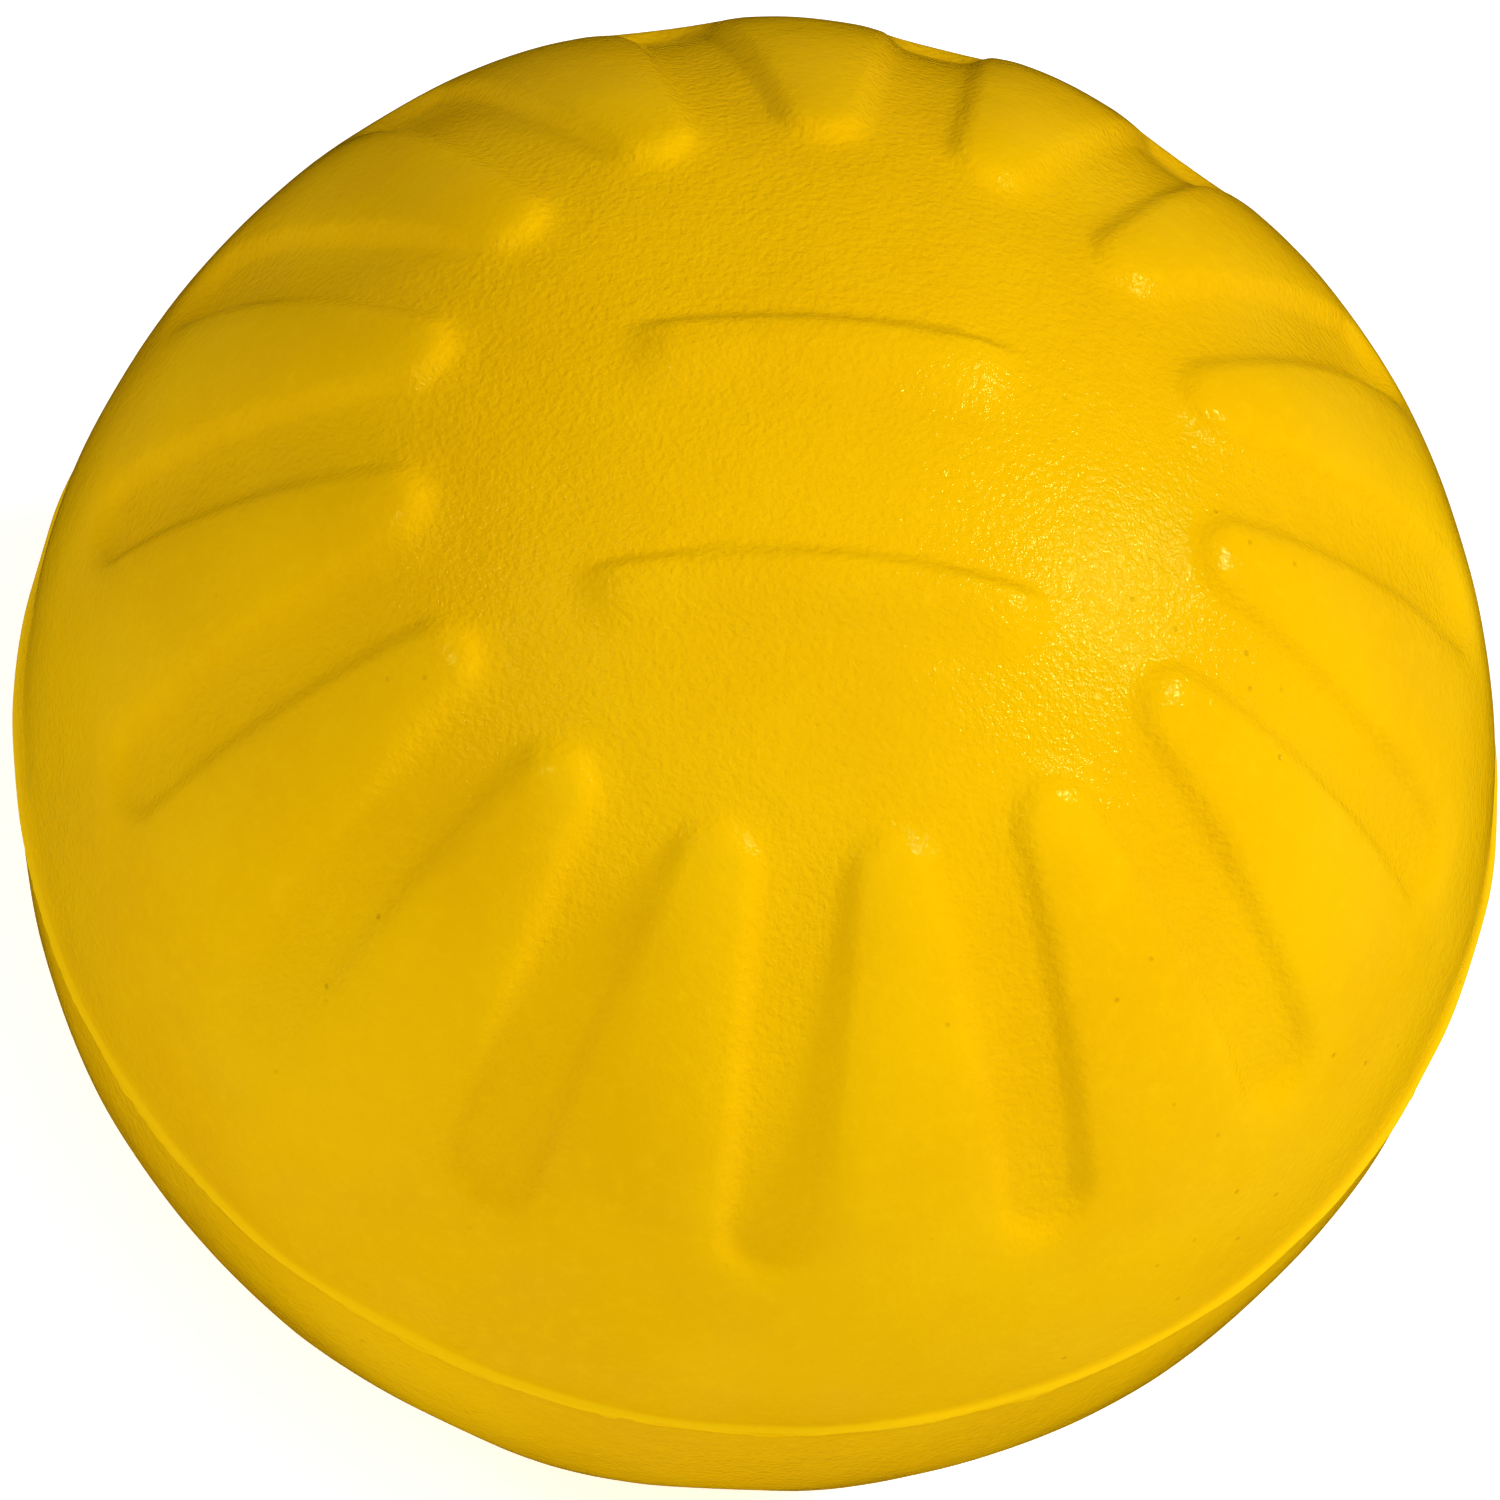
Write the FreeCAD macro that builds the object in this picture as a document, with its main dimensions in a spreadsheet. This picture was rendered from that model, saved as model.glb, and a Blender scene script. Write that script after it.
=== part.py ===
import FreeCAD, Part
import os
from math import hypot, radians

import Sketcher
from FreeCAD import Placement, Rotation, Vector

# Foam stress ball, in millimetres. The origin is the ball's centre, +Z runs through the middle of the
# marked disc, and the mould's parting line lies in the plane Z = 0. The pieces are an upper and a lower
# moulded skin with a raised star relief, the foam core inside them, and the flash bead between them.

DIMENSIONS = {
    # the whole ball
    "ball_radius": 35.0,
    "wall_below_relief": 1.1,  # skin left under the grooves and the disc
    "core_clearance": 0.2,  # radial gap between the core and the skins
    # star relief: a recessed round disc with grooves that run outwards from it
    "relief_depth": 0.9,
    "disc_edge_angle": 31.8,  # degrees from the pole
    "groove_count": 15,
    "groove_width": 4.4,
    "groove_end_angle": 65.3,  # degrees from the pole to the middle of the rounded end
    "nose_radius": 1.5,  # corner radius of each petal's inner end
    # two plain raised bars on the upper disc, each a bent strip seen from above
    "bar_height": 0.6,
    "bar_width": 3.4,
    "back_bar_place": 4.8,  # from the Z axis to the strip's middle
    "back_bar_bend": 150.0,  # radius of the strip's middle line
    "back_bar_half_angle": 3.3,  # degrees about the bend's centre
    "front_bar_place": -7.5,
    "front_bar_bend": 75.0,
    "front_bar_half_angle": 8.3,
    # flash bead on the parting line
    "bead_height": 0.6,
    "bead_proud": 0.25,  # how far it stands out of the ball
    "bead_root": 0.5,  # how deep it sits in the skins
    "bead_clearance": 0.05,
}

RADIUS = "Dimensions.ball_radius"
FLOOR_RADIUS = f"({RADIUS} - Dimensions.relief_depth)"
INNER_RADIUS = f"({FLOOR_RADIUS} - Dimensions.wall_below_relief)"
OVERSIZE = f"({RADIUS} + Dimensions.relief_depth)"  # clears the surface
BITE = "Dimensions.wall_below_relief / 2"  # how far the bars run into the skin
NEAR = 0.001  # two places this close are the same

doc = FreeCAD.newDocument("StressBall")
sheet = doc.addObject("Spreadsheet::Sheet", "Dimensions")
for row, (alias, size) in enumerate(DIMENSIONS.items(), start=1):
    sheet.set(f"A{row}", alias)
    sheet.set(f"B{row}", str(size))
    sheet.setAlias(f"B{row}", alias)
doc.recompute()


def value(expression):
    return float(sheet.evalExpression(expression))


def new_body(name):
    return doc.addObject("PartDesign::Body", name)


def datum(body, role):
    """One of the body's own origin planes or axes, such as XZ_Plane."""
    return next(f for f in body.Origin.OriginFeatures if f.Role == role)


def new_sketch(body, name, role):
    sketch = body.newObject("Sketcher::SketchObject", name)
    sketch.AttachmentSupport = [(datum(body, role), "")]
    sketch.MapMode = "FlatFace"
    return sketch


def constrain(sketch, name, expression, kind, *where):
    """Adds a named size to a sketch and binds it to the sheet."""
    index = sketch.addConstraint(Sketcher.Constraint(kind, *where, value(expression)))
    sketch.renameConstraint(index, name)
    sketch.setExpression(f"Constraints.{name}", expression)


def relate(sketch, kind, *where):
    sketch.addConstraint(Sketcher.Constraint(kind, *where))


def draw_quarter_ring(sketch, outer, inner):
    """A quarter ring about the origin, from the horizontal axis to the vertical one."""
    big, small, quarter = value(outer), value(inner), radians(90)
    for size in (big, small):
        circle = Part.Circle(Vector(), Vector(0, 0, 1), size)
        sketch.addGeometry(Part.ArcOfCircle(circle, 0, quarter))
    sketch.addGeometry(Part.LineSegment(Vector(small, 0, 0), Vector(big, 0, 0)))
    sketch.addGeometry(Part.LineSegment(Vector(0, small, 0), Vector(0, big, 0)))
    for arc in (0, 1):
        relate(sketch, "Coincident", arc, 3, -1, 1)
        relate(sketch, "PointOnObject", arc, 1, -1)
        relate(sketch, "PointOnObject", arc, 2, -2)
    for line, end in ((2, 1), (3, 2)):
        relate(sketch, "Coincident", line, 1, 1, end)
        relate(sketch, "Coincident", line, 2, 0, end)
    constrain(sketch, "outer_radius", outer, "Radius", 0)
    constrain(sketch, "inner_radius", inner, "Radius", 1)


def draw_rectangle(sketch, left, right, low, high):
    """A rectangle; each side is an expression for its place from the origin."""
    x0, x1, y0, y1 = (value(side) for side in (left, right, low, high))
    corners = [Vector(x0, y0, 0), Vector(x1, y0, 0), Vector(x1, y1, 0), Vector(x0, y1, 0)]
    for start, end in zip(corners, corners[1:] + corners[:1]):
        sketch.addGeometry(Part.LineSegment(start, end))
    for side in range(4):
        relate(sketch, "Coincident", side, 2, (side + 1) % 4, 1)
        relate(sketch, "Horizontal" if side % 2 == 0 else "Vertical", side)
    constrain(sketch, "left_side", left, "DistanceX", -1, 1, 0, 1)
    constrain(sketch, "right_side", right, "DistanceX", -1, 1, 0, 2)
    constrain(sketch, "low_side", low, "DistanceY", -1, 1, 0, 1)
    constrain(sketch, "high_side", high, "DistanceY", -1, 1, 2, 1)


def draw_circle(sketch, radius):
    sketch.addGeometry(Part.Circle(Vector(), Vector(0, 0, 1), value(radius)))
    relate(sketch, "Coincident", 0, 3, -1, 1)
    constrain(sketch, "radius", radius, "Radius", 0)


def turn_feature(body, sketch, kind, name, axis, angle=None):
    """A Revolution or a Groove of the sketch about one of its own axes."""
    feature = body.newObject(f"PartDesign::{kind}", name)
    feature.Profile = sketch
    feature.ReferenceAxis = (sketch, [axis])
    feature.Angle = 360
    if angle:
        feature.setExpression("Angle", angle)
    return feature


def outward_pocket(body, sketch, name):
    """A pocket along the sketch's normal, through all of the body."""
    feature = body.newObject("PartDesign::Pocket", name)
    feature.Profile = sketch
    feature.Type = "ThroughAll"
    feature.Reversed = True
    return feature


def volume_of(feature):
    doc.recompute()
    return feature.Shape.Volume


def check_cut(before, feature):
    """Stops if a cut took nothing away."""
    after = volume_of(feature)
    if not after < before:
        raise RuntimeError(f"{feature.Name} cut nothing")
    return after


def make_floor_shell():
    """The plain half shell under the relief, down to the core."""
    body = new_body("floor_shell")
    profile = new_sketch(body, "floor_profile", "XZ_Plane")
    draw_quarter_ring(profile, FLOOR_RADIUS, INNER_RADIUS)
    turn_feature(body, profile, "Revolution", "floor_turned", "V_Axis")
    return body


def cut_bead_seat(body, before):
    """The rebate round the rim where the flash bead sits."""
    seat = new_sketch(body, "seat_profile", "XZ_Plane")
    depth = "(Dimensions.bead_root + Dimensions.bead_clearance)"
    height = "Dimensions.bead_height / 2 + Dimensions.bead_clearance"
    draw_rectangle(seat, f"{RADIUS} - {depth}", OVERSIZE, "-Dimensions.bead_height", height)
    return check_cut(before, turn_feature(body, seat, "Groove", "bead_seat", "V_Axis"))


def cut_grooves(body, before):
    """One groove along the meridian of -Y with a round outer end, repeated round the Z axis."""
    tilt = "90 - Dimensions.groove_end_angle"
    half_width = "Dimensions.groove_width / 2"
    deep = f"{RADIUS} - 2 * Dimensions.relief_depth"

    run = new_sketch(body, "groove_run", "XY_Plane")
    run.AttachmentOffset = Placement(Vector(), Rotation(Vector(1, 0, 0), -1))
    run.setExpression("AttachmentOffset.Rotation.Angle", f"-({tilt})")
    draw_rectangle(run, f"-{half_width}", half_width, f"-{OVERSIZE}", f"-({deep})")
    length = "Dimensions.groove_end_angle - Dimensions.disc_edge_angle / 2"
    groove = turn_feature(body, run, "Groove", "groove", "H_Axis", length)
    groove.Reversed = True
    before = check_cut(before, groove)

    end = new_sketch(body, "groove_end", "XZ_Plane")
    end.AttachmentOffset = Placement(Vector(0, 0, 1), Rotation(Vector(1, 0, 0), -1))
    end.setExpression("AttachmentOffset.Rotation.Angle", f"-({tilt})")
    end.setExpression("AttachmentOffset.Base.z", f"({deep}) * cos({tilt})")
    end.setExpression("AttachmentOffset.Base.y", f"({deep}) * sin({tilt})")
    draw_circle(end, half_width)
    round_end = outward_pocket(body, end, "groove_round_end")
    before = check_cut(before, round_end)

    pattern = body.newObject("PartDesign::PolarPattern", "grooves")
    pattern.Originals = [groove, round_end]
    pattern.Axis = (datum(body, "Z_Axis"), [""])
    pattern.Angle = 360
    pattern.setExpression("Occurrences", "Dimensions.groove_count")
    body.Tip = pattern
    check_cut(before, pattern)
    return pattern


def is_nose_edge(edge):
    """An upright edge where a groove opens into the disc."""
    start, end = (v.Point for v in edge.Vertexes) if len(edge.Vertexes) == 2 else (Vector(), Vector())
    upright = hypot(start.x - end.x, start.y - end.y) < NEAR
    reach = value(f"{RADIUS} * sin(Dimensions.disc_edge_angle)")
    return upright and start != end and abs(hypot(start.x, start.y) - reach) < NEAR


def round_noses(body, pattern):
    """Rounds the two inner corners of every petal."""
    noses = [f"Edge{i}" for i, e in enumerate(pattern.Shape.Edges, start=1) if is_nose_edge(e)]
    if len(noses) != 2 * value("Dimensions.groove_count"):
        raise RuntimeError(f"{len(noses)} nose edges")
    fillet = body.newObject("PartDesign::Fillet", "petal_noses")
    fillet.Base = (pattern, noses)
    fillet.setExpression("Radius", "Dimensions.nose_radius")
    body.Tip = fillet


def make_petal_layer():
    """The raised outer layer of one half: the petals, the band round the equator and the bead's seat."""
    body = new_body("petal_layer")
    profile = new_sketch(body, "layer_profile", "XZ_Plane")
    draw_quarter_ring(profile, RADIUS, FLOOR_RADIUS)
    left = volume_of(turn_feature(body, profile, "Revolution", "layer_turned", "V_Axis"))
    left = cut_bead_seat(body, left)
    disc = new_sketch(body, "disc_outline", "XY_Plane")
    draw_circle(disc, f"{RADIUS} * sin(Dimensions.disc_edge_angle)")
    left = check_cut(left, outward_pocket(body, disc, "disc"))
    round_noses(body, cut_grooves(body, left))
    return body


def joined(kind, name, *parts):
    """A Part boolean: Cut takes (base, tool), the others take any number of shapes."""
    result = doc.addObject(f"Part::{kind}", name)
    if kind == "Cut":
        result.Base, result.Tool = parts
    else:
        result.Shapes = list(parts)
    return result


def make_sphere(name, radius):
    sphere = doc.addObject("Part::Sphere", name)
    sphere.setExpression("Radius", radius)
    return sphere


def make_sector(name, radius, side):
    """A tall sector of a cylinder, centred on the line of +Y, with its tip at the bar's bend centre."""
    sector = doc.addObject("Part::Cylinder", name)
    sector.setExpression("Radius", radius)
    sector.setExpression("Height", OVERSIZE)
    sector.setExpression("Angle", f"2 * Dimensions.{side}_bar_half_angle")
    sector.setExpression("Placement.Base.y", f"Dimensions.{side}_bar_place - Dimensions.{side}_bar_bend")
    sector.Placement.Rotation = Rotation(Vector(0, 0, 1), 1)
    sector.setExpression("Placement.Rotation.Angle", f"90 - Dimensions.{side}_bar_half_angle")
    return sector


def make_bar_strip(side):
    """One bent strip with square ends, standing up through the surface."""
    bend, half_width = f"Dimensions.{side}_bar_bend", "Dimensions.bar_width / 2"
    outer = make_sector(f"{side}_bar_outer", f"{bend} + {half_width}", side)
    inner = make_sector(f"{side}_bar_inner", f"{bend} - {half_width}", side)
    return joined("Cut", f"{side}_bar_strip", outer, inner)


def make_bars():
    """The two bars, trimmed to an even height over the disc."""
    top = make_sphere("bar_top", f"{FLOOR_RADIUS} + Dimensions.bar_height")
    root = make_sphere("bar_root", f"{FLOOR_RADIUS} - {BITE}")
    layer = joined("Cut", "bar_layer", top, root)
    strips = joined("MultiFuse", "bar_strips", make_bar_strip("back"), make_bar_strip("front"))
    return joined("MultiCommon", "bars", layer, strips)


def make_skins():
    """The upper skin with its bars, and the lower one as a plain mirror image of the star."""
    half = joined("MultiFuse", "plain_half", make_floor_shell(), make_petal_layer())
    upper = joined("MultiFuse", "upper_skin", half, make_bars())
    lower = doc.addObject("Part::Mirroring", "lower_skin")
    lower.Source = half
    lower.Normal = Vector(0, 0, 1)
    return upper, lower


def make_core():
    return make_sphere("foam_core", f"{INNER_RADIUS} - Dimensions.core_clearance")


def make_bead():
    """The flash bead: a thin ring whose outer side is a half round."""
    body = new_body("parting_line_bead")
    profile = new_sketch(body, "bead_profile", "XZ_Plane")
    half_height = "Dimensions.bead_height / 2"
    root = f"{RADIUS} - Dimensions.bead_root"
    draw_rectangle(profile, root, f"{RADIUS} + Dimensions.bead_proud", f"-{half_height}", half_height)
    turned = turn_feature(body, profile, "Revolution", "bead_turned", "V_Axis")
    doc.recompute()
    lip = value(f"{RADIUS} + Dimensions.bead_proud")
    rims = [
        f"Edge{i}"
        for i, edge in enumerate(turned.Shape.Edges, start=1)
        if hasattr(edge.Curve, "Radius") and abs(edge.Curve.Radius - lip) < NEAR
    ]
    rounded = body.newObject("PartDesign::Fillet", "bead_rounded")
    rounded.Base = (turned, rims)
    rounded.setExpression("Radius", "0.8 * Dimensions.bead_proud")
    body.Tip = rounded
    return body


def check_document(pieces):
    """Stops if an object failed to recompute or a piece isn't one sound solid."""
    doc.recompute()
    for thing in doc.Objects:
        if "Invalid" in thing.State or "Error" in thing.State:
            raise RuntimeError(f"{thing.Name} failed: {thing.State}")
    for piece in pieces:
        shape = piece.Shape
        if shape.isNull() or not shape.isValid() or len(shape.Solids) != 1:
            raise RuntimeError(f"{piece.Label} isn't one sound solid")


def main():
    pieces = [*make_skins(), make_core(), make_bead()]
    check_document(pieces)
    os.makedirs("parts", exist_ok=True)
    for piece in pieces:
        piece.Label = piece.Name
        piece.Shape.exportStep(f"parts/{piece.Label}.step")
        print(f"{piece.Label}: {piece.Shape.Volume:.0f} mm3")


main()
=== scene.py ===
from math import asin, cos, pi, radians, sin, tan, tau

import bmesh
import bpy
import numpy as np
from mathutils import Matrix, Vector, noise


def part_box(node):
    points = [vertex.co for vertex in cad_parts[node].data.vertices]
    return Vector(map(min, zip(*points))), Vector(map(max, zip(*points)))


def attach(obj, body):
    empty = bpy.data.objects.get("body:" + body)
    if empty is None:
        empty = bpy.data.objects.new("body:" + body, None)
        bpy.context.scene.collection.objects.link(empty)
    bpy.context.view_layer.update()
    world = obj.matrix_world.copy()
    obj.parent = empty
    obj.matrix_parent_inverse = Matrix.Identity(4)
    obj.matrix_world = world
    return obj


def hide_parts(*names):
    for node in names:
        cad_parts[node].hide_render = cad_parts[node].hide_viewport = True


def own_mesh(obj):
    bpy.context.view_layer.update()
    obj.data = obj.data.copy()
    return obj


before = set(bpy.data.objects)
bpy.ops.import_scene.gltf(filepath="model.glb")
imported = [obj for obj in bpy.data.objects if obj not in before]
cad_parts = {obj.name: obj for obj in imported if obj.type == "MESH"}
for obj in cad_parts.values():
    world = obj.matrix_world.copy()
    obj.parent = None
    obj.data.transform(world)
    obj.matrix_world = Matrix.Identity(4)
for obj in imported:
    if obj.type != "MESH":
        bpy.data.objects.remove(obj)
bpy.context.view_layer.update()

MM = 0.001

# ------------------------------------------------------------ sizes, read from the frame
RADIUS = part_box("upper_skin")[1].x
FLOOR_RADIUS = -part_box("lower_skin")[0].z  # the recessed disc's surface
CORE_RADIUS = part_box("foam_core")[1].z
BEAD_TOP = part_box("parting_line_bead")[1]  # how far the flash bead reaches outwards and upwards
CORE_GAP = 0.2 * MM
INNER_RADIUS = CORE_RADIUS + CORE_GAP
RELIEF_DEPTH = RADIUS - FLOOR_RADIUS
BEAD_ROOT = RADIUS - 0.5 * MM  # the flash bead's inner side
SEAT_CLEARANCE = (0.05 * MM, 0.01 * MM)  # the rebate's room round the bead: inwards and upwards
SEAT_RADIUS = BEAD_ROOT - SEAT_CLEARANCE[0]
SEAT_HEIGHT = BEAD_TOP.z + SEAT_CLEARANCE[1]

# ------------------------------------------------------------ the star relief
GROOVES = 15
GROOVE_STEP = tau / GROOVES
GROOVE_END = radians(65.3)  # from the pole to the middle of the round end
DISC_EDGE = radians(31.8)
INNER_HALF_WIDTH, OUTER_HALF_WIDTH = 2.3 * MM, 2.1 * MM
NOSE_RADIUS = 1.75 * MM  # the inner ends of the petals are round
PETAL_BLEND = 0.6 * MM
FLANK_STEEP, FLANK_WIDE = 1.3 * MM, 4.0 * MM  # a groove's side is a steep step inside a wide one
STEEP_SHARE = 0.52
CROWN = 0.10 * MM  # how far a petal bulges
CROWN_REACH = 4.0 * MM
CROWN_FROM, CROWN_FULL, CROWN_FADES, CROWN_TO = (radians(a) for a in (32, 44, 62, 80))
LUMPS = ((11 * MM, 0.21 * MM), (4.2 * MM, 0.04 * MM))  # wavelength and height

# a worn patch, where the grooves' outer ends fade away
WORN_THETA, WORN_PHI = radians(76), radians(-46)
WORN_CORE, WORN_REACH = 3 * MM, 15 * MM
WORN_SHARE = 0.85

# the two bars: place of the upper edge along +Y, bend radius, half length
BARS = ((6.9 * MM, 150 * MM, 8.6 * MM), (-5.4 * MM, 75 * MM, 10.8 * MM))
BAR_HEIGHT = 0.6 * MM
BAR_CRISP = 0.9 * MM
BAR_TOP = 0.6 * MM
BAR_SOFT = 3.4 * MM
BAR_END = 3.0 * MM

# the lips beside the parting line: height, and how far up or down the ball they reach
UPPER_LIP = (0.32 * MM, 0.65 * MM)
LOWER_LIP = (0.03 * MM, 0.65 * MM)
LIP_WAVE = (5 * MM, 0.35)  # the lips are uneven along their length: wavelength and share
LIP_BAND = 1.0 * MM  # the finely divided band beside the parting line
LIP_RINGS = 8

CORNER_ANGLE = radians(50)
SKIN_GRID = 280  # cells along each side of a skin's square grid
INNER_SHARE = 4  # grid points on the rim for each one on the inside
INNER_RINGS = 26
BEAD_STEPS = 1440
BEAD_NICKS = tuple(radians(a) for a in (-13.5, -11.4, -8.6, 61, 148, 203, 287))
NICK_REACH = 0.55 * MM
CORE_CELL, CORE_DENT = 1.6 * MM, 0.3 * MM  # size and depth of the core's open cells
HIGHEST_RELIEF = 1.3  # where the stored relief is cut off


def ease(t):
    t = np.clip(t, 0, 1)
    return t * t * (3 - 2 * t)


def soft_min(a, b, blend):
    share = np.clip(0.5 + 0.5 * (b - a) / blend, 0, 1)
    return b + (a - b) * share - blend * share * (1 - share)


def round_min(a, b, radius):
    """The smaller of two distances, with a round corner where both are small."""
    corner = np.hypot(np.maximum(radius - a, 0), np.maximum(radius - b, 0))
    return np.maximum(radius, np.minimum(a, b)) - corner


def groove_distance(theta, phi, further):
    """Distance along the surface to the side of the nearest groove, or of the next one; negative inside."""
    turn = (phi + GROOVE_STEP / 2) % GROOVE_STEP - GROOVE_STEP / 2
    if further:
        turn = turn - np.where(turn >= 0, GROOVE_STEP, -GROOVE_STEP)
    across = RADIUS * np.arcsin(np.clip(np.sin(theta) * np.sin(turn), -1, 1))
    along = RADIUS * (np.arctan2(np.sin(theta) * np.cos(turn), np.cos(theta)) - GROOVE_END)
    outwards = np.clip((theta - DISC_EDGE) / (GROOVE_END - DISC_EDGE), 0, 1)
    half_width = INNER_HALF_WIDTH + (OUTER_HALF_WIDTH - INNER_HALF_WIDTH) * outwards
    return np.hypot(across, np.maximum(along, 0)) - half_width


def recess_distance(theta, phi):
    near, next_one = groove_distance(theta, phi, False), groove_distance(theta, phi, True)
    grooves = soft_min(near, next_one, PETAL_BLEND)
    return round_min(grooves, RADIUS * (theta - DISC_EDGE), NOSE_RADIUS)


def worn_share(theta, phi):
    """How much of the relief is left: less on the worn patch."""
    middle = sphere_points(np.array([WORN_THETA]), np.array([WORN_PHI]))[0]
    distance = RADIUS * np.arccos(np.clip(sphere_points(theta, phi) @ middle, -1, 1))
    return 1 - WORN_SHARE * (1 - ease((distance - WORN_CORE) / WORN_REACH))


def star_height(theta, phi):
    """Height of the star relief over the plain sphere."""
    away = recess_distance(theta, phi)
    steep, wide = ease(away / FLANK_STEEP + 0.5), ease(away / FLANK_WIDE + 0.5)
    drop = -RELIEF_DEPTH * (1 - STEEP_SHARE * steep - (1 - STEEP_SHARE) * wide)
    rise = ease((theta - CROWN_FROM) / (CROWN_FULL - CROWN_FROM))
    fade = ease((CROWN_TO - theta) / (CROWN_TO - CROWN_FADES))
    return drop * worn_share(theta, phi) + CROWN * ease(away / CROWN_REACH) * rise * fade


def bar_height(theta, phi):
    """Height of the two bars: crisp on the side of +Y, falling softly on the other."""
    x, y = RADIUS * theta * np.sin(phi), -RADIUS * theta * np.cos(phi)
    total = np.zeros_like(theta)
    for place, bend, half_length in BARS:
        across = bend - np.hypot(x, y - (place - bend))
        along = bend * np.arctan2(x, y - (place - bend))
        rise = ease(across / BAR_CRISP)
        fall = 1 - ease((across - BAR_CRISP - BAR_TOP) / BAR_SOFT)
        ends = ease((half_length - np.abs(along)) / BAR_END + 0.5)
        total += BAR_HEIGHT * rise * fall * ends
    return total


def lump_height(points):
    """Slow unevenness of the foam, the same on both sides of the parting line."""
    return np.array(
        [sum(height * noise.noise(Vector(p) / size) for size, height in LUMPS) for p in points]
    )


def lip_unevenness(phi):
    """How wide and high a lip is at each angle round the ball, as a share of its mean."""
    length, share = LIP_WAVE
    spots = sphere_points(np.full_like(phi, pi / 2), phi) * RADIUS / length
    return 1 + share * np.array([noise.noise(Vector(p)) for p in spots])


def sphere_points(theta, phi):
    """Unit vectors: theta from the pole, phi round from -Y towards +X."""
    return np.stack([np.sin(theta) * np.sin(phi), -np.sin(theta) * np.cos(phi), np.cos(theta)], -1)


def square_to_disc(u, v):
    """Maps the square from -1 to 1 onto the unit disc with equal areas: radius and angle."""
    wide = np.abs(u) >= np.abs(v)
    long_one, short_one = np.where(wide, u, v), np.where(wide, v, u)
    ratio = np.divide(short_one, long_one, out=np.zeros_like(u), where=long_one != 0)
    angle = np.where(wide, pi / 4 * ratio, pi / 2 - pi / 4 * ratio)
    return np.abs(long_one), np.where(long_one < 0, angle + pi, angle)


# ------------------------------------------------------------ meshes
def make_piece(name, points, faces):
    """A closed mesh object with its faces turned outwards, smooth except at its corners."""
    mesh = bpy.data.meshes.new(name)
    mesh.from_pydata([tuple(p) for p in points], [], faces)
    work = bmesh.new()
    work.from_mesh(mesh)
    bmesh.ops.recalc_face_normals(work, faces=work.faces)
    work.to_mesh(mesh)
    work.free()
    mesh.polygons.foreach_set("use_smooth", [True] * len(mesh.polygons))
    mesh.set_sharp_from_angle(angle=CORNER_ANGLE)
    mesh.update()
    piece = bpy.data.objects.new(name, mesh)
    bpy.context.scene.collection.objects.link(piece)
    return piece


def bridge(near, far):
    """Faces between two loops of point numbers, where near has one or more points for each of far's."""
    share = len(near) // len(far)
    if share == 1:
        shifted = near[1:] + near[:1], far[1:] + far[:1]
        return list(zip(near, shifted[0], shifted[1], far))
    faces = []
    for i, corner in enumerate(far):
        run = [near[(i * share + k) % len(near)] for k in range(share + 1)]
        faces += [(run[k], run[k + 1], corner) for k in range(share)]
        faces.append((run[share], far[(i + 1) % len(far)], corner))
    return faces


def grid_border(n):
    """The numbers of a square grid's border points, once round."""
    row = n + 1
    low = list(range(n))
    right = [i * row + n for i in range(n)]
    high = [n * row + n - i for i in range(n)]
    left = [(n - i) * row for i in range(n)]
    return low + right + high + left


def lip_height(theta, phi, side, last):
    """Height of the lip beside the parting line; last is the angle of the half's rim."""
    height, reach = UPPER_LIP if side > 0 else LOWER_LIP
    uneven = lip_unevenness(phi)
    return height * uneven * ease(1 - (last - theta) * RADIUS / (reach * uneven))


def outside_height(theta, phi, side):
    """Height of one half's outside over the plain sphere, without its lip."""
    lumps = lump_height(sphere_points(theta, phi) * [1, 1, side] * RADIUS)
    bars = bar_height(theta, phi) if side > 0 else 0
    return star_height(theta, phi) + lumps + bars


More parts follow.
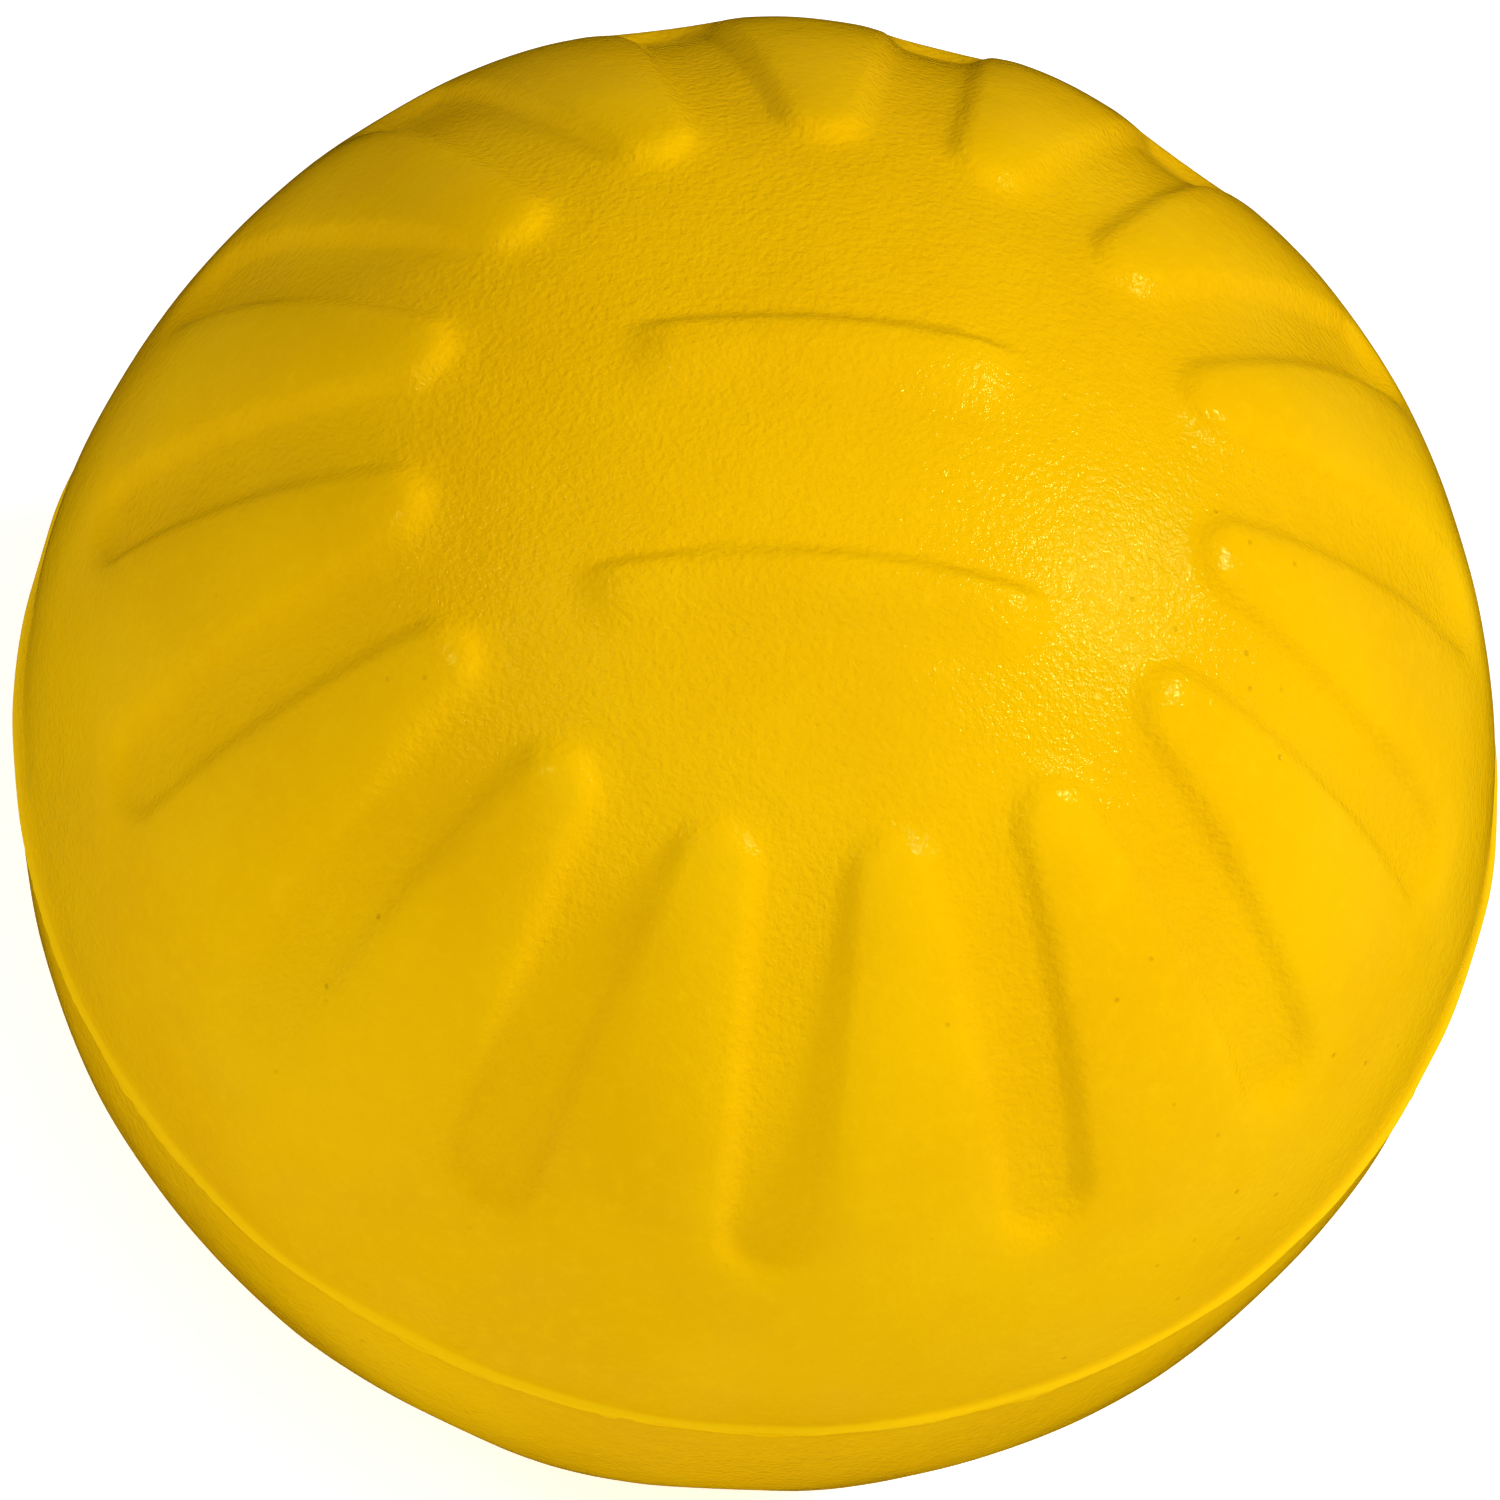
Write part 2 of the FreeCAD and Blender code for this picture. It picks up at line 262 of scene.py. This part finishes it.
def make_skin(name, side):
    """A closed half shell: moulded outside, rebated rim and plain inside. side is 1 above and -1 below."""
    steps = np.linspace(-1, 1, SKIN_GRID + 1)
    u, v = (a.ravel() for a in np.meshgrid(steps, steps))
    reach, phi = square_to_disc(u, v)
    border = grid_border(SKIN_GRID)
    rim, coarse = phi[border], phi[border][::INNER_SHARE]
    last = pi / 2 - asin(SEAT_HEIGHT / RADIUS)
    band_start = last - LIP_BAND / RADIUS
    grid_theta = 2 * np.arcsin(reach * sin(band_start / 2))
    band_theta = np.repeat(np.linspace(band_start, last, LIP_RINGS + 1)[1:], len(rim))
    theta, phi = np.append(grid_theta, band_theta), np.append(phi, np.tile(rim, LIP_RINGS))
    height, lip = outside_height(theta, phi, side), lip_height(theta, phi, side, last)
    points = list(sphere_points(theta, phi) * [1, 1, side] * (RADIUS + height + lip)[:, None])

    row = SKIN_GRID + 1
    starts = [j * row + i for j in range(SKIN_GRID) for i in range(SKIN_GRID)]
    faces = [(a, a + 1, a + row + 1, a + row) for a in starts]
    loops = [border]
    for ring in range(LIP_RINGS):
        first = row * row + ring * len(rim)
        loops.append(list(range(first, first + len(rim))))
    flat = [(SEAT_RADIUS, SEAT_HEIGHT, rim), (SEAT_RADIUS, 0, rim)]
    bowl = [pi / 2 * (1 - ring / INNER_RINGS) for ring in range(INNER_RINGS)]
    bowl = [(INNER_RADIUS * sin(a), INNER_RADIUS * cos(a), coarse) for a in bowl]
    for out, up, angles in flat + bowl:
        loops.append(list(range(len(points), len(points) + len(angles))))
        points += [(out * sin(a), -out * cos(a), side * up) for a in angles]
    for near, far in zip(loops, loops[1:]):
        faces += bridge(near, far)
    pole = len(points)
    points.append((0, 0, side * INNER_RADIUS))
    faces += [(a, b, pole) for a, b in zip(loops[-1], loops[-1][1:] + loops[-1][:1])]
    piece = make_piece(name, points, faces)
    # relief is 0 in the grooves and 1 on the petals; lip is 1 at the upper lip's mean height
    store_on_points(piece, "relief", np.clip(height / RELIEF_DEPTH + 1, 0, HIGHEST_RELIEF), 1)
    store_on_points(piece, "lip", lip / UPPER_LIP[0], 0)
    return piece


def store_on_points(piece, name, outside, elsewhere):
    """Keeps one number on each point for the material: the outside's own, and another on the rest."""
    layer = piece.data.attributes.new(name, "FLOAT", "POINT")
    values = np.full(len(piece.data.vertices), float(elsewhere))
    values[: len(outside)] = outside
    layer.data.foreach_set("value", values)


def make_bead(name):
    """The flash: an uneven thin ring with small nicks where it tore off the mould."""
    angles = [tau * i / BEAD_STEPS for i in range(BEAD_STEPS)]
    thick = BEAD_TOP.z
    proud = BEAD_TOP.x - RADIUS
    points, loops = [], []
    for a in angles:
        spot = Vector((sin(a), -cos(a), 0))
        swell = noise.noise(spot * 9) + 0.6 * noise.noise(spot * 55 + Vector((0, 0, 7)))
        gap = min(abs((a - nick + pi) % tau - pi) for nick in BEAD_NICKS) * RADIUS
        torn = 1 - 0.9 * float(ease(1 - gap / NICK_REACH))
        lift = proud * (0.85 + 0.4 * swell) * torn
        ride = 0.25 * thick * noise.noise(spot * 14 + Vector((3, 0, 0)))
        section = (
            (BEAD_ROOT, thick),
            (RADIUS + 0.10 * MM, thick),
            (RADIUS + 0.10 * MM + 0.45 * lift, 0.75 * thick + ride),
            (RADIUS + 0.06 * MM + 0.85 * lift, 0.35 * thick + ride),
            (RADIUS + 0.02 * MM + lift, -0.15 * thick + ride),
            (RADIUS + 0.70 * lift, -0.55 * thick + ride),
            (RADIUS - 0.04 * MM + 0.2 * lift, -0.85 * thick),
            (RADIUS - 0.10 * MM, -thick),
            (BEAD_ROOT, -thick),
        )
        loops.append(list(range(len(points), len(points) + len(section))))
        points += [(out * sin(a), -out * cos(a), up) for out, up in section]
    faces = []
    for near, far in zip(loops, loops[1:] + loops[:1]):
        faces += bridge(near, far)
    return make_piece(name, points, faces)


def make_core(name):
    """The cellular core: a ball whose surface is covered with small open cells."""
    work = bmesh.new()
    bmesh.ops.create_icosphere(work, subdivisions=6, radius=1)
    points = [v.co.copy() for v in work.verts]
    faces = [tuple(v.index for v in f.verts) for f in work.faces]
    work.free()
    placed = []
    for unit in points:
        near, _ = noise.voronoi(unit * CORE_RADIUS / CORE_CELL)
        dent = CORE_DENT * (1 - min(near[0] / 0.6, 1))
        placed.append(unit * (CORE_RADIUS - dent))
    return make_piece(name, placed, faces)


# ------------------------------------------------------------ materials
class Nodes:
    """Short calls for building one material's nodes."""

    def __init__(self, name):
        self.material = bpy.data.materials.new(name)
        self.material.use_nodes = True
        self.tree = self.material.node_tree
        self.shader = self.tree.nodes["Principled BSDF"]
        self.place = self.add("ShaderNodeTexCoord").outputs["Object"]

    def add(self, kind, **settings):
        node = self.tree.nodes.new(kind)
        for key, setting in settings.items():
            setattr(node, key, setting)
        return node

    def link(self, source, target):
        self.tree.links.new(source, target)

    def noise(self, wavelength, detail=2.0, roughness=0.5):
        node = self.add("ShaderNodeTexNoise")
        self.link(self.place, node.inputs["Vector"])
        node.inputs["Scale"].default_value = 1 / wavelength
        node.inputs["Detail"].default_value = detail
        node.inputs["Roughness"].default_value = roughness
        return node.outputs["Fac"]

    def cells(self, size):
        node = self.add("ShaderNodeTexVoronoi", feature="F1")
        self.link(self.place, node.inputs["Vector"])
        node.inputs["Scale"].default_value = 1 / size
        return node

    def remap(self, source, from_low, from_high, to_low=0.0, to_high=1.0):
        node = self.add("ShaderNodeMapRange", interpolation_type="SMOOTHSTEP")
        self.link(source, node.inputs["Value"])
        for key, number in zip(("From Min", "From Max", "To Min", "To Max"),
                               (from_low, from_high, to_low, to_high)):
            node.inputs[key].default_value = number
        return node.outputs["Result"]

    def maths(self, operation, first, second):
        node = self.add("ShaderNodeMath", operation=operation)
        for socket, value in zip(node.inputs, (first, second)):
            if isinstance(value, (int, float)):
                socket.default_value = value
            else:
                self.link(value, socket)
        return node.outputs["Value"]

    def mix(self, factor, first, second):
        node = self.add("ShaderNodeMix", data_type="RGBA")
        self.link(factor, node.inputs["Factor"])
        for socket, colour in ((node.inputs[6], first), (node.inputs[7], second)):
            if isinstance(colour, tuple):
                socket.default_value = (*colour, 1)
            else:
                self.link(colour, socket)
        return node.outputs[2]

    def bump(self, height, distance, below=None):
        node = self.add("ShaderNodeBump")
        self.link(height, node.inputs["Height"])
        node.inputs["Distance"].default_value = distance
        if below:
            self.link(below, node.inputs["Normal"])
        return node.outputs["Normal"]

    def attribute(self, name):
        return self.add("ShaderNodeAttribute", attribute_name=name).outputs["Fac"]


# DEEP_YELLOW also serves as painted shade in the grooves and in the core's cells
DEEP_YELLOW = (0.80, 0.435, 0.0006)
YELLOW = (0.85, 0.485, 0.0006)
PALE_YELLOW = (0.90, 0.540, 0.002)
LIP_HIGHLIGHT_YELLOW = (0.91, 0.55, 0.002)  # painted highlight on the lips, paler where they catch the light
PIT_BROWN = (0.40, 0.19, 0.002)
CORE_YELLOW = (0.80, 0.50, 0.06)
SHEEN = 0.10  # the foam's skin hardly shines
SHEEN_TINT = (1.0, 0.98, 0.22, 1)


def foam_skin_material():
    """Self-skinned yellow foam: grainy in the hollows and smoother on the petals, with pits, painted shade
    in the grooves and a painted highlight on the lips.
    """
    n = Nodes("yellow_foam_skin")
    relief = n.attribute("relief")
    slow = n.noise(14 * MM, detail=3)
    mottle = n.noise(0.9 * MM, detail=4, roughness=0.6)
    colour = n.mix(n.remap(slow, 0.32, 0.68), DEEP_YELLOW, YELLOW)
    colour = n.mix(n.remap(mottle, 0.45, 0.8, 0, 0.35), colour, PALE_YELLOW)
    # painted shade: the grooves' floors are mixed towards DEEP_YELLOW, darker where shade falls
    colour = n.mix(n.remap(relief, 0, 0.8, 0.28, 0), colour, DEEP_YELLOW)
    # painted highlight: the lips are mixed towards a paler yellow
    colour = n.mix(n.remap(n.attribute("lip"), 0.1, 0.6), colour, LIP_HIGHLIGHT_YELLOW)

    pits = n.cells(1.9 * MM)
    spot = n.remap(pits.outputs["Distance"], 0.02, 0.10, 1, 0)
    split = n.add("ShaderNodeSeparateColor")
    n.link(pits.outputs["Color"], split.inputs["Color"])
    spot = n.maths("MULTIPLY", spot, n.remap(split.outputs["Red"], 0.60, 0.62))
    spot = n.maths("MULTIPLY", spot, n.remap(n.noise(24 * MM), 0.44, 0.56))
    colour = n.mix(n.maths("MULTIPLY", spot, 0.32), colour, PIT_BROWN)
    n.link(colour, n.shader.inputs["Base Color"])

    rough = n.remap(n.noise(5 * MM, detail=3), 0.3, 0.7, 0.07, 0.12)
    n.link(rough, n.shader.inputs["Roughness"])
    n.shader.inputs["Specular IOR Level"].default_value = SHEEN
    n.shader.inputs["Specular Tint"].default_value = SHEEN_TINT

    fine = n.maths("MULTIPLY", n.noise(0.33 * MM, detail=2, roughness=0.55),
                   n.remap(relief, 0.6, 1.1, 1, 0.36))
    grain = n.bump(fine, 0.10 * MM)
    peel = n.bump(n.noise(1.3 * MM, detail=2), 0.03 * MM, grain)
    dents = n.bump(n.maths("SUBTRACT", 1, spot), 0.05 * MM, peel)
    n.link(dents, n.shader.inputs["Normal"])
    return n.material


def flash_material():
    """The flash bead: the same foam, a little paler and quite matt."""
    n = Nodes("yellow_foam_flash")
    slow = n.noise(3 * MM, detail=3)
    n.link(n.mix(n.remap(slow, 0.3, 0.7), YELLOW, PALE_YELLOW), n.shader.inputs["Base Color"])
    n.link(n.remap(n.noise(1 * MM), 0.3, 0.7, 0.5, 0.6), n.shader.inputs["Roughness"])
    n.shader.inputs["Specular IOR Level"].default_value = 0.0
    n.link(n.bump(n.noise(0.4 * MM, detail=3), 0.03 * MM), n.shader.inputs["Normal"])
    return n.material


def core_material():
    """Cut cellular foam: matt, with open cells of a millimetre or less, and painted shade in the cells'
    hollows.
    """
    n = Nodes("yellow_foam_core")
    cells = n.cells(0.7 * MM)
    walls = n.remap(cells.outputs["Distance"], 0.1, 0.6)
    # painted shade: the cells' hollows are DEEP_YELLOW, the walls between them paler
    n.link(n.mix(walls, DEEP_YELLOW, CORE_YELLOW), n.shader.inputs["Base Color"])
    n.link(n.remap(n.noise(2 * MM), 0.3, 0.7, 0.8, 0.95), n.shader.inputs["Roughness"])
    n.link(n.bump(walls, 0.25 * MM), n.shader.inputs["Normal"])
    return n.material


def floor_material():
    n = Nodes("pale_floor")
    slow = n.noise(90 * MM, detail=2)
    n.link(n.mix(slow, (0.90, 0.90, 0.90), (0.93, 0.93, 0.93)), n.shader.inputs["Base Color"])
    n.link(n.remap(slow, 0.3, 0.7, 0.7, 0.8), n.shader.inputs["Roughness"])
    n.shader.inputs["Emission Color"].default_value = (1, 1, 1, 1)
    n.shader.inputs["Emission Strength"].default_value = FLOOR_GLOW
    return n.material


# ------------------------------------------------------------ pieces
def build_pieces():
    upper = make_skin("upper_foam_skin", 1)
    lower = make_skin("lower_foam_skin", -1)
    core = make_core("cellular_foam_core")
    bead = make_bead("parting_line_flash")
    skin, flash, cellular = foam_skin_material(), flash_material(), core_material()
    rows = (
        (upper, "upper_half", "upper_skin", "skin", skin, FLOOR_RADIUS),
        (lower, "lower_half", "lower_skin", "skin", skin, -FLOOR_RADIUS),
        (core, "lower_half", "foam_core", "core", cellular, -FLOOR_RADIUS),
        (bead, "seam", "parting_line_bead", "flash", flash, 0),
    )
    for piece, body, node, slot, material, fixed_end in rows:
        piece.data.materials.append(material)
        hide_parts(node)
        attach(piece, body)
        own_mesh(piece)


# ------------------------------------------------------------ floor, camera and light
CAMERA_AZIMUTH, CAMERA_ELEVATION, CAMERA_ROLL = (radians(a) for a in (-9.6, 64, 12.2))
CAMERA_DISTANCE = 30 * RADIUS
SENSOR_WIDTH = 36  # millimetres, as in a full-frame camera
BALL_SHARE = 0.492  # the ball's radius as a share of the picture's side
SHIFT_RIGHT, SHIFT_UP = 0.0042, -0.0031

# name, direction (right, up, back), side in metres, watts, and whether it glints on the ball
LAMPS = (
    ("key", (0.80, 0.38, 0.47), 0.10, 2.25, True),
    ("front", (-0.02, 0.02, 1.0), 0.6, 2.45, False),
    ("left_fill", (-0.54, 0.32, 0.78), 0.09, 0.4, True),
    ("left_rim", (-0.97, 0.20, 0.15), 0.4, 0.20, False),
    ("low_fill", (0.45, -0.86, 0.20), 0.5, 0.40, False),
)
LAMP_DISTANCE = 0.6
WORLD_STRENGTH = 0.08
FLOOR_HALF_SIDE = 3.0
FLOOR_GAP = 0.1 * MM  # between the ball and the floor
FLOOR_GLOW = 0.56  # the floor's own light keeps it white


def camera_axes():
    """Unit vectors to the right, up and back of the rolled camera."""
    flat = cos(CAMERA_ELEVATION)
    back = Vector((sin(CAMERA_AZIMUTH) * flat, -cos(CAMERA_AZIMUTH) * flat, sin(CAMERA_ELEVATION)))
    right = Vector((cos(CAMERA_AZIMUTH), sin(CAMERA_AZIMUTH), 0))
    turn = Matrix.Rotation(CAMERA_ROLL, 3, back)
    return turn @ right, turn @ back.cross(right), back


def make_camera():
    right, up, back = camera_axes()
    data = bpy.data.cameras.new("camera")
    data.sensor_width = SENSOR_WIDTH
    edge = tan(asin(RADIUS / CAMERA_DISTANCE))
    data.lens = BALL_SHARE * SENSOR_WIDTH / edge
    data.shift_x, data.shift_y = -SHIFT_RIGHT, -SHIFT_UP
    data.clip_start, data.clip_end = 0.01, 10
    camera = bpy.data.objects.new("camera", data)
    turn = Matrix((right, up, back)).transposed().to_4x4()
    camera.matrix_world = Matrix.Translation(back * CAMERA_DISTANCE) @ turn
    bpy.context.scene.collection.objects.link(camera)
    bpy.context.scene.camera = camera


def make_light(name, towards, size, power, glossy):
    """A square lamp in the direction (right, up, back) of the camera, facing the ball."""
    right, up, back = camera_axes()
    direction = (right * towards[0] + up * towards[1] + back * towards[2]).normalized()
    data = bpy.data.lights.new(name, "AREA")
    data.shape, data.size, data.energy = "SQUARE", size, power
    lamp = bpy.data.objects.new(name, data)
    lamp.location = direction * LAMP_DISTANCE
    lamp.rotation_mode = "QUATERNION"
    lamp.rotation_quaternion = direction.to_track_quat("Z", "Y")
    lamp.visible_glossy = glossy
    bpy.context.scene.collection.objects.link(lamp)


def make_stage():
    ground = -FLOOR_RADIUS - FLOOR_GAP
    ways = ((-1, -1), (1, -1), (1, 1), (-1, 1))
    corners = [(x * FLOOR_HALF_SIDE, y * FLOOR_HALF_SIDE, ground) for x, y in ways]
    mesh = bpy.data.meshes.new("floor")
    mesh.from_pydata(corners, [], [(0, 1, 2, 3)])
    floor = bpy.data.objects.new("floor", mesh)
    floor.data.materials.append(floor_material())
    floor.visible_glossy = False
    bpy.context.scene.collection.objects.link(floor)

    world = bpy.data.worlds.new("studio")
    world.use_nodes = True
    sky = world.node_tree.nodes["Background"]
    sky.inputs["Color"].default_value = (1, 1, 1, 1)
    sky.inputs["Strength"].default_value = WORLD_STRENGTH
    world.cycles_visibility.glossy = False
    bpy.context.scene.world = world
    for name, towards, size, power, glossy in LAMPS:
        make_light(name, towards, size, power, glossy)
    bpy.context.scene.view_settings.view_transform = "Standard"


build_pieces()
make_stage()
make_camera()
